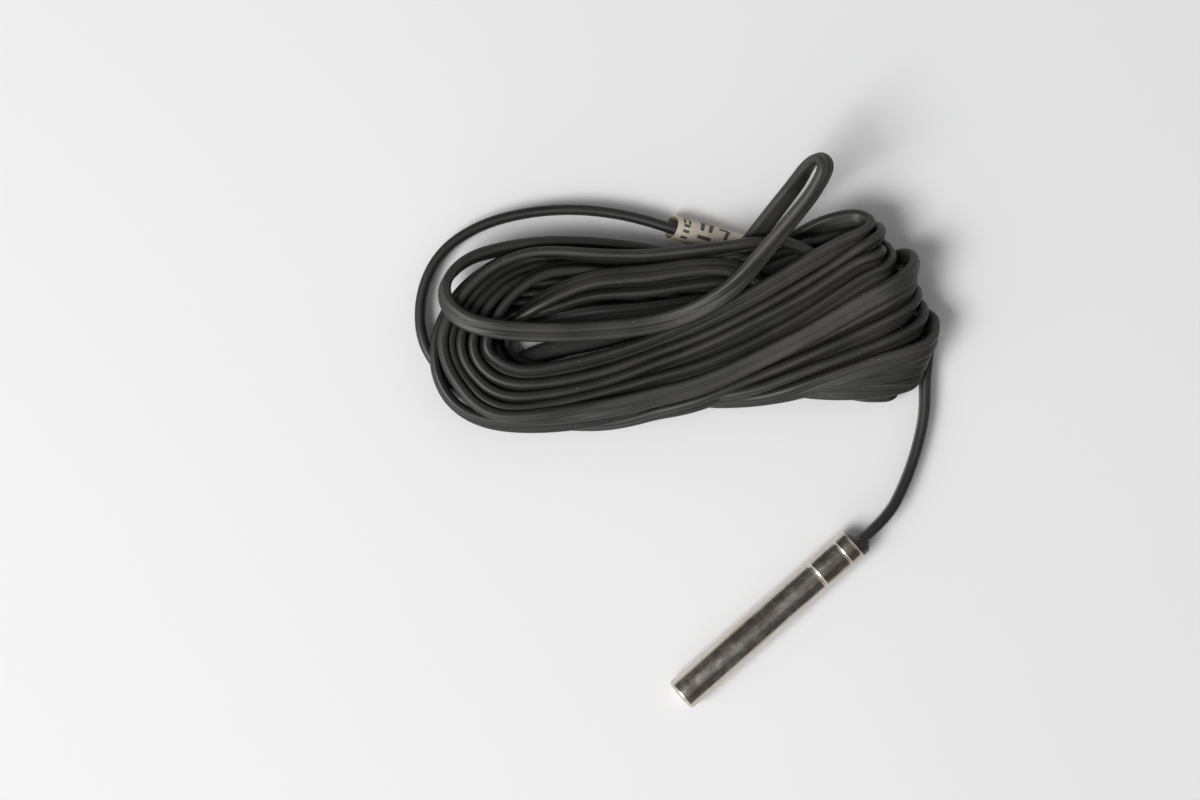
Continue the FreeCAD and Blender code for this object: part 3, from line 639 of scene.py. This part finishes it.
def ranged(tree, value, low, high, floor=0.0, ceiling=1.0, smooth=False):
    """Where a value lies between low and high, told from floor to ceiling."""
    node = tree.nodes.new("ShaderNodeMapRange")
    node.interpolation_type = "SMOOTHSTEP" if smooth else "LINEAR"
    terms = {"Value": value, "From Min": low, "From Max": high, "To Min": floor, "To Max": ceiling}
    for title, term in terms.items():
        put(tree, node.inputs[title], term)
    return node.outputs["Result"]


def axes_of(tree, vector):
    """A vector's X, Y and Z."""
    parts = tree.nodes.new("ShaderNodeSeparateXYZ")
    tree.links.new(vector, parts.inputs[0])
    return parts.outputs


def noise(tree, vector, scale, detail, roughness=0.5):
    """Uneven patches."""
    node = tree.nodes.new("ShaderNodeTexNoise")
    for title, term in (("Vector", vector), ("Scale", scale), ("Detail", detail), ("Roughness", roughness)):
        put(tree, node.inputs[title], term)
    return node.outputs["Fac"]


def effect(name, **numbers):
    """A node group: a Vector and named numbers come in, and a Mask goes out."""
    group = bpy.data.node_groups.new(name, "ShaderNodeTree")
    group.interface.new_socket("Vector", in_out="INPUT", socket_type="NodeSocketVector")
    for title, value in numbers.items():
        socket = group.interface.new_socket(title, in_out="INPUT", socket_type="NodeSocketFloat")
        socket.default_value = value
    group.interface.new_socket("Mask", in_out="OUTPUT", socket_type="NodeSocketFloat")
    given = group.nodes.new("NodeGroupInput").outputs
    mask = group.nodes.new("NodeGroupOutput").inputs["Mask"]
    return group, given, mask


def clouds_effect():
    """Soft patches, such as tarnish or an uneven gloss."""
    group, given, mask = effect("soft patches", Scale=300.0, From=0.4, To=0.65)
    patches = noise(group, given["Vector"], given["Scale"], 5, 0.62)
    put(group, mask, ranged(group, patches, given["From"], given["To"]))
    return group


def specks_effect():
    """Scattered specks, such as dust or fine grit."""
    group, given, mask = effect("specks", Scale=900.0, Size=0.12)
    cells = group.nodes.new("ShaderNodeTexVoronoi")
    put(group, cells.inputs["Vector"], given["Vector"])
    put(group, cells.inputs["Scale"], given["Scale"])
    near = worked(group, "LESS_THAN", cells.outputs["Distance"], given["Size"])
    some = worked(group, "GREATER_THAN", cells.outputs["Color"], 0.72)
    put(group, mask, worked(group, "MULTIPLY", near, some))
    return group


def streaks_effect():
    """Fine lines drawn out along the second coordinate, such as an extrusion's or a drawn tube's, which the
    finishes also colour as painted sheen and painted reflection.
    """
    group, given, mask = effect("long thin lines", Scale=1.0, Stretch=30.0, From=0.35, To=0.7)
    x, y, z = axes_of(group, given["Vector"])
    drawn = group.nodes.new("ShaderNodeCombineXYZ")
    put(group, drawn.inputs["X"], x)
    put(group, drawn.inputs["Y"], worked(group, "DIVIDE", y, given["Stretch"]))
    put(group, drawn.inputs["Z"], z)
    lines = noise(group, drawn.outputs[0], given["Scale"], 4)
    put(group, mask, ranged(group, lines, given["From"], given["To"]))
    return group


def dust_and_lit_tops_effect():
    """A thin layer, such as dust, on what faces up, growing between two heights and uneven all over; used as
    painted light where the higher, upward faces catch the lamp.
    """
    group, given, mask = effect("dust and painted light on tops", Low=0.0, High=0.01)
    surface = group.nodes.new("ShaderNodeNewGeometry")
    height = axes_of(group, given["Vector"])["Z"]
    facing = axes_of(group, surface.outputs["Normal"])["Z"]
    high = ranged(group, height, given["Low"], given["High"], smooth=True)
    upward = ranged(group, facing, 0.1, 0.95, smooth=True)
    uneven = ranged(group, noise(group, given["Vector"], 110.0, 6), 0.3, 0.65)
    put(group, mask, worked(group, "MULTIPLY", worked(group, "MULTIPLY", high, upward), uneven))
    return group


CLOUDS = clouds_effect()
DUST_AND_LIT_TOPS = dust_and_lit_tops_effect()
SPECKS = specks_effect()
STREAKS = streaks_effect()


class Finish:
    """A material whose colour, gloss and relief are built up from masks."""

    def __init__(self, name, coordinates="Object"):
        self.material = bpy.data.materials.new(name)
        self.material.use_nodes = True
        self.tree = self.material.node_tree
        self.shader = self.tree.nodes["Principled BSDF"]
        where = self.tree.nodes.new("ShaderNodeTexCoord")
        self.where = where.outputs[coordinates]
        self.object_place = where.outputs["Object"]

    def mask(self, group, vector=None, **numbers):
        """An effect's mask, on the finish's own coordinates unless others are given."""
        node = self.tree.nodes.new("ShaderNodeGroup")
        node.node_tree = group
        self.tree.links.new(vector or self.where, node.inputs["Vector"])
        for title, value in numbers.items():
            node.inputs[title].default_value = value
        return node.outputs["Mask"]

    def scaled(self, mask, by):
        return worked(self.tree, "MULTIPLY", mask, by)

    def blend(self, under, over, mask):
        """A colour or number that goes from under to over as the mask rises."""
        colours = isinstance(over, tuple)
        node = self.tree.nodes.new("ShaderNodeMix")
        node.data_type = "RGBA" if colours else "FLOAT"
        first, second = (6, 7) if colours else (2, 3)
        self.tree.links.new(mask, node.inputs[0])
        for index, term in ((first, under), (second, over)):
            put(self.tree, node.inputs[index], (*term, 1) if isinstance(term, tuple) else term)
        return node.outputs[2 if colours else 0]

    def feed(self, socket, term):
        """Gives a socket of the shader its mask, colour or plain value."""
        put(self.tree, self.shader.inputs[socket], term)

    def relief(self, height, depth):
        """Raises the surface by the mask; depth is in metres."""
        bump = self.tree.nodes.new("ShaderNodeBump")
        bump.inputs["Strength"].default_value = 1
        bump.inputs["Distance"].default_value = depth
        self.tree.links.new(height, bump.inputs["Height"])
        self.feed("Normal", bump.outputs["Normal"])


# Finishes
def rubber_finish(name, coordinates, streak_scale, stretch):
    """Soft black rubber with drawn lines, partly lightened as a painted sheen, dust specks, and a pale layer
    where it faces up high in the hank: partly dust, partly painted light on the tops the lamp reaches.
    """
    finish = Finish(name, coordinates)
    patch_scale, dust_scale = (0.12, 0.9) if coordinates == "UV" else (160.0, 900.0)
    drawn_lines_and_sheen = finish.mask(STREAKS, Scale=streak_scale, Stretch=stretch)
    patches = finish.mask(CLOUDS, Scale=patch_scale, From=0.38, To=0.66)
    dust = finish.mask(SPECKS, Scale=dust_scale, Size=0.075)
    dust_and_lit_tops = finish.mask(DUST_AND_LIT_TOPS, finish.object_place, Low=0.005, High=0.013)
    colour = finish.blend((0.0065, 0.0068, 0.0070), (0.014, 0.0138, 0.0125), patches)
    # The drawn lines are coloured lighter: the rubber's own lines, with a painted sheen along the strands.
    colour = finish.blend(colour, (0.036, 0.035, 0.031), finish.scaled(drawn_lines_and_sheen, 0.5))
    # Painted light: the pale layer lightens the upward faces of the high strands, where the lamp falls, over
    # some real dust.
    colour = finish.blend(colour, (0.095, 0.090, 0.076), finish.scaled(dust_and_lit_tops, 0.42))
    colour = finish.blend(colour, (0.30, 0.29, 0.27), finish.scaled(dust, 0.7))
    finish.feed("Base Color", colour)
    rough = finish.blend(0.39, 0.54, drawn_lines_and_sheen)
    finish.feed("Roughness", finish.blend(rough, 0.6, finish.scaled(dust_and_lit_tops, 0.6)))
    finish.relief(drawn_lines_and_sheen, 0.00002)
    return finish.material


def plated_finish():
    """Nickel plate, drawn along the sleeve, dulled and tarnished in patches, with brown lines along it
    painted as a reflection of warm surroundings.
    """
    finish = Finish("dulled nickel plate")
    turned = finish.tree.nodes.new("ShaderNodeMapping")
    turned.inputs["Rotation"].default_value = (0, 0, math.pi / 2)
    finish.tree.links.new(finish.where, turned.inputs["Vector"])
    drawn = finish.mask(STREAKS, turned.outputs[0], Scale=1300.0, Stretch=22.0, From=0.4, To=0.62)
    clouds = finish.mask(CLOUDS, Scale=420.0, From=0.4, To=0.66)
    fine = finish.mask(CLOUDS, Scale=2200.0, From=0.4, To=0.75)
    colour = finish.blend((0.66, 0.61, 0.56), (0.76, 0.74, 0.67), clouds)
    # Painted reflection: the drawn lines are coloured brown to stand for warm surroundings seen in the plate.
    colour = finish.blend(colour, (0.46, 0.34, 0.24), finish.scaled(drawn, 0.6))
    colour = finish.blend(colour, (0.30, 0.30, 0.25), finish.scaled(fine, 0.3))
    finish.feed("Base Color", colour)
    finish.feed("Metallic", 1.0)
    rough = finish.blend(0.16, 0.3, clouds)
    finish.feed("Roughness", finish.blend(rough, 0.4, finish.scaled(fine, 0.4)))
    finish.relief(drawn, 0.000006)
    return finish.material


# Printed bars: the middle along and round the slip, and half sizes, as shares of it
PRINTED_BARS = [
    (0.15, 0.56, 0.05, 0.018), (0.15, 0.49, 0.05, 0.018), (0.11, 0.43, 0.018, 0.035),
    (0.19, 0.43, 0.018, 0.035), (0.15, 0.36, 0.05, 0.018), (0.15, 0.64, 0.05, 0.018),
    (0.45, 0.35, 0.11, 0.028), (0.39, 0.44, 0.030, 0.06), (0.52, 0.44, 0.030, 0.06),
    (0.45, 0.58, 0.11, 0.022), (0.78, 0.50, 0.030, 0.10), (0.70, 0.40, 0.06, 0.024),
]


def paper_finish():
    """Yellowed paper with the printed bars, laid out on the slip before it was rolled."""
    finish = Finish("label paper", "UV")
    fibres = finish.mask(CLOUDS, Scale=22.0, From=0.3, To=0.7)
    stains = finish.mask(CLOUDS, Scale=3.0, From=0.4, To=0.8)
    colour = finish.blend((0.66, 0.60, 0.49), (0.58, 0.52, 0.41), fibres)
    colour = finish.blend(colour, (0.50, 0.43, 0.32), finish.scaled(stains, 0.4))
    tree = finish.tree
    x, y, _ = axes_of(tree, finish.where)
    for along_at, round_at, half_long, half_round in PRINTED_BARS:
        in_length = worked(tree, "COMPARE", x, along_at, half_long)
        in_height = worked(tree, "COMPARE", y, round_at, half_round)
        bar = worked(tree, "MULTIPLY", in_length, in_height)
        colour = finish.blend(colour, (0.035, 0.030, 0.026), finish.scaled(bar, 0.93))
    finish.feed("Base Color", colour)
    finish.feed("Roughness", 0.62)
    finish.relief(fibres, 0.00001)
    return finish.material


def plain_finish(name, colour, tint, roughness, metallic=0.0):
    """A plain material with faint patches of a second colour and gloss."""
    finish = Finish(name)
    patches = finish.mask(CLOUDS, Scale=900.0, From=0.35, To=0.7)
    finish.feed("Base Color", finish.blend(colour, tint, patches))
    finish.feed("Roughness", finish.blend(roughness, min(1.0, roughness + 0.12), patches))
    finish.feed("Metallic", metallic)
    return finish.material


def dress(piece, *materials):
    piece.data.materials.clear()
    for material in materials:
        piece.data.materials.append(material)


cord_rubber = rubber_finish("cord rubber", "UV", 2.2, 40.0)
seal_rubber = rubber_finish("seal rubber", "Object", 900.0, 3.0)
tinned = plain_finish("tinned copper", (0.62, 0.61, 0.58), (0.45, 0.44, 0.42), 0.3, 1.0)
copper = plain_finish("bare copper", (0.75, 0.34, 0.20), (0.55, 0.24, 0.14), 0.28, 1.0)
core_black = plain_finish("core insulation", (0.02, 0.02, 0.02), (0.04, 0.038, 0.034), 0.42)
inner_rubber = rubber_finish("cord rubber inside the sleeve", "Object", 900.0, 3.0)
dress(cord, cord_rubber)
dress(seal, seal_rubber)
dress(sleeve, plated_finish())
dress(label, paper_finish(), plain_finish("label paper back", (0.34, 0.26, 0.20), (0.27, 0.20, 0.15), 0.75))
sleeving = plain_finish("sleeving", (0.35, 0.17, 0.03), (0.28, 0.13, 0.02), 0.3)
CAD_FINISHES = {
    "cord_entry": inner_rubber,
    "thermal_compound": plain_finish("thermal compound", (0.72, 0.72, 0.70), (0.60, 0.60, 0.58), 0.55),
    "potting_resin": plain_finish("potting resin", (0.03, 0.03, 0.035), (0.05, 0.05, 0.055), 0.22),
    "element_chip": plain_finish("chip ceramic", (0.78, 0.77, 0.73), (0.66, 0.65, 0.60), 0.5),
    "element_bond": plain_finish("bond glass", (0.05, 0.16, 0.11), (0.08, 0.22, 0.15), 0.2),
    "element_lead_1": tinned, "element_lead_2": tinned, "splice_1": tinned, "splice_2": tinned,
    "end_ferrule_1": tinned, "end_ferrule_2": tinned, "conductor_1": copper, "conductor_2": copper,
    "end_core_1": core_black, "end_core_2": core_black,
    "insulating_sleeve_1": sleeving, "insulating_sleeve_2": sleeving,
}
for name, material in CAD_FINISHES.items():
    dress(bpy.data.objects[name], material)

# Table and light
TABLE_SIZE = 3
BACKDROP_LEVEL = 0.84  # what the camera sees past the table
SUBJECT = Vector((0.02, 0.04, 0))
LAMP_DISTANCE = 1.2
LAMP_HEIGHT = math.radians(51.5)
LAMP_BEARING = math.radians(172)
LAMP_SIZE = 0.55
LAMP_POWER = 10.6

scene = bpy.context.scene
scene.view_settings.view_transform = "Standard"
bpy.ops.mesh.primitive_plane_add(size=TABLE_SIZE, location=(0, 0, 0))
floor = bpy.context.object
floor.name = "table_top"
table = Finish("pale table")
mottle = table.mask(CLOUDS, Scale=6.0, From=0.3, To=0.7)
table.feed("Base Color", table.blend((0.875, 0.876, 0.88), (0.865, 0.866, 0.87), mottle))
table.feed("Roughness", 0.7)
dress(floor, table.material)
deselect()

world = bpy.data.worlds.new("studio")
scene.world = world
world.use_nodes = True
sky = world.node_tree
direction = sky.nodes.new("ShaderNodeTexCoord")
x, y, _ = axes_of(sky, direction.outputs["Generated"])
# Two soft panels, the brighter one towards minus X, and a faint glow that fades towards plus and minus Y
bright_panel = ranged(sky, x, -0.2, -0.75, 0.0, 0.85, smooth=True)
dim_panel = ranged(sky, x, 0.2, 0.75, 0.0, 0.36, smooth=True)
glow = ranged(sky, worked(sky, "ABSOLUTE", y), 0.25, 0.7, 0.18, 0.07, smooth=True)
room = worked(sky, "ADD", worked(sky, "ADD", bright_panel, dim_panel), glow)
camera_ray = sky.nodes.new("ShaderNodeLightPath")
backdrop = sky.nodes.new("ShaderNodeMix")
backdrop.data_type = "FLOAT"
put(sky, backdrop.inputs[0], camera_ray.outputs["Is Camera Ray"])
put(sky, backdrop.inputs[2], room)
put(sky, backdrop.inputs[3], BACKDROP_LEVEL)
background = sky.nodes["Background"]
put(sky, background.inputs["Color"], (1, 1, 1, 1))
put(sky, background.inputs["Strength"], backdrop.outputs[0])

lamp_way = Vector((
    math.cos(LAMP_BEARING) * math.cos(LAMP_HEIGHT),
    math.sin(LAMP_BEARING) * math.cos(LAMP_HEIGHT),
    math.sin(LAMP_HEIGHT),
))
bpy.ops.object.light_add(type="AREA", location=SUBJECT + lamp_way * LAMP_DISTANCE)
lamp = bpy.context.object
lamp.name = "softbox"
lamp.data.size = LAMP_SIZE
lamp.data.energy = LAMP_POWER
lamp.rotation_euler = lamp_way.to_track_quat("Z", "Y").to_euler()
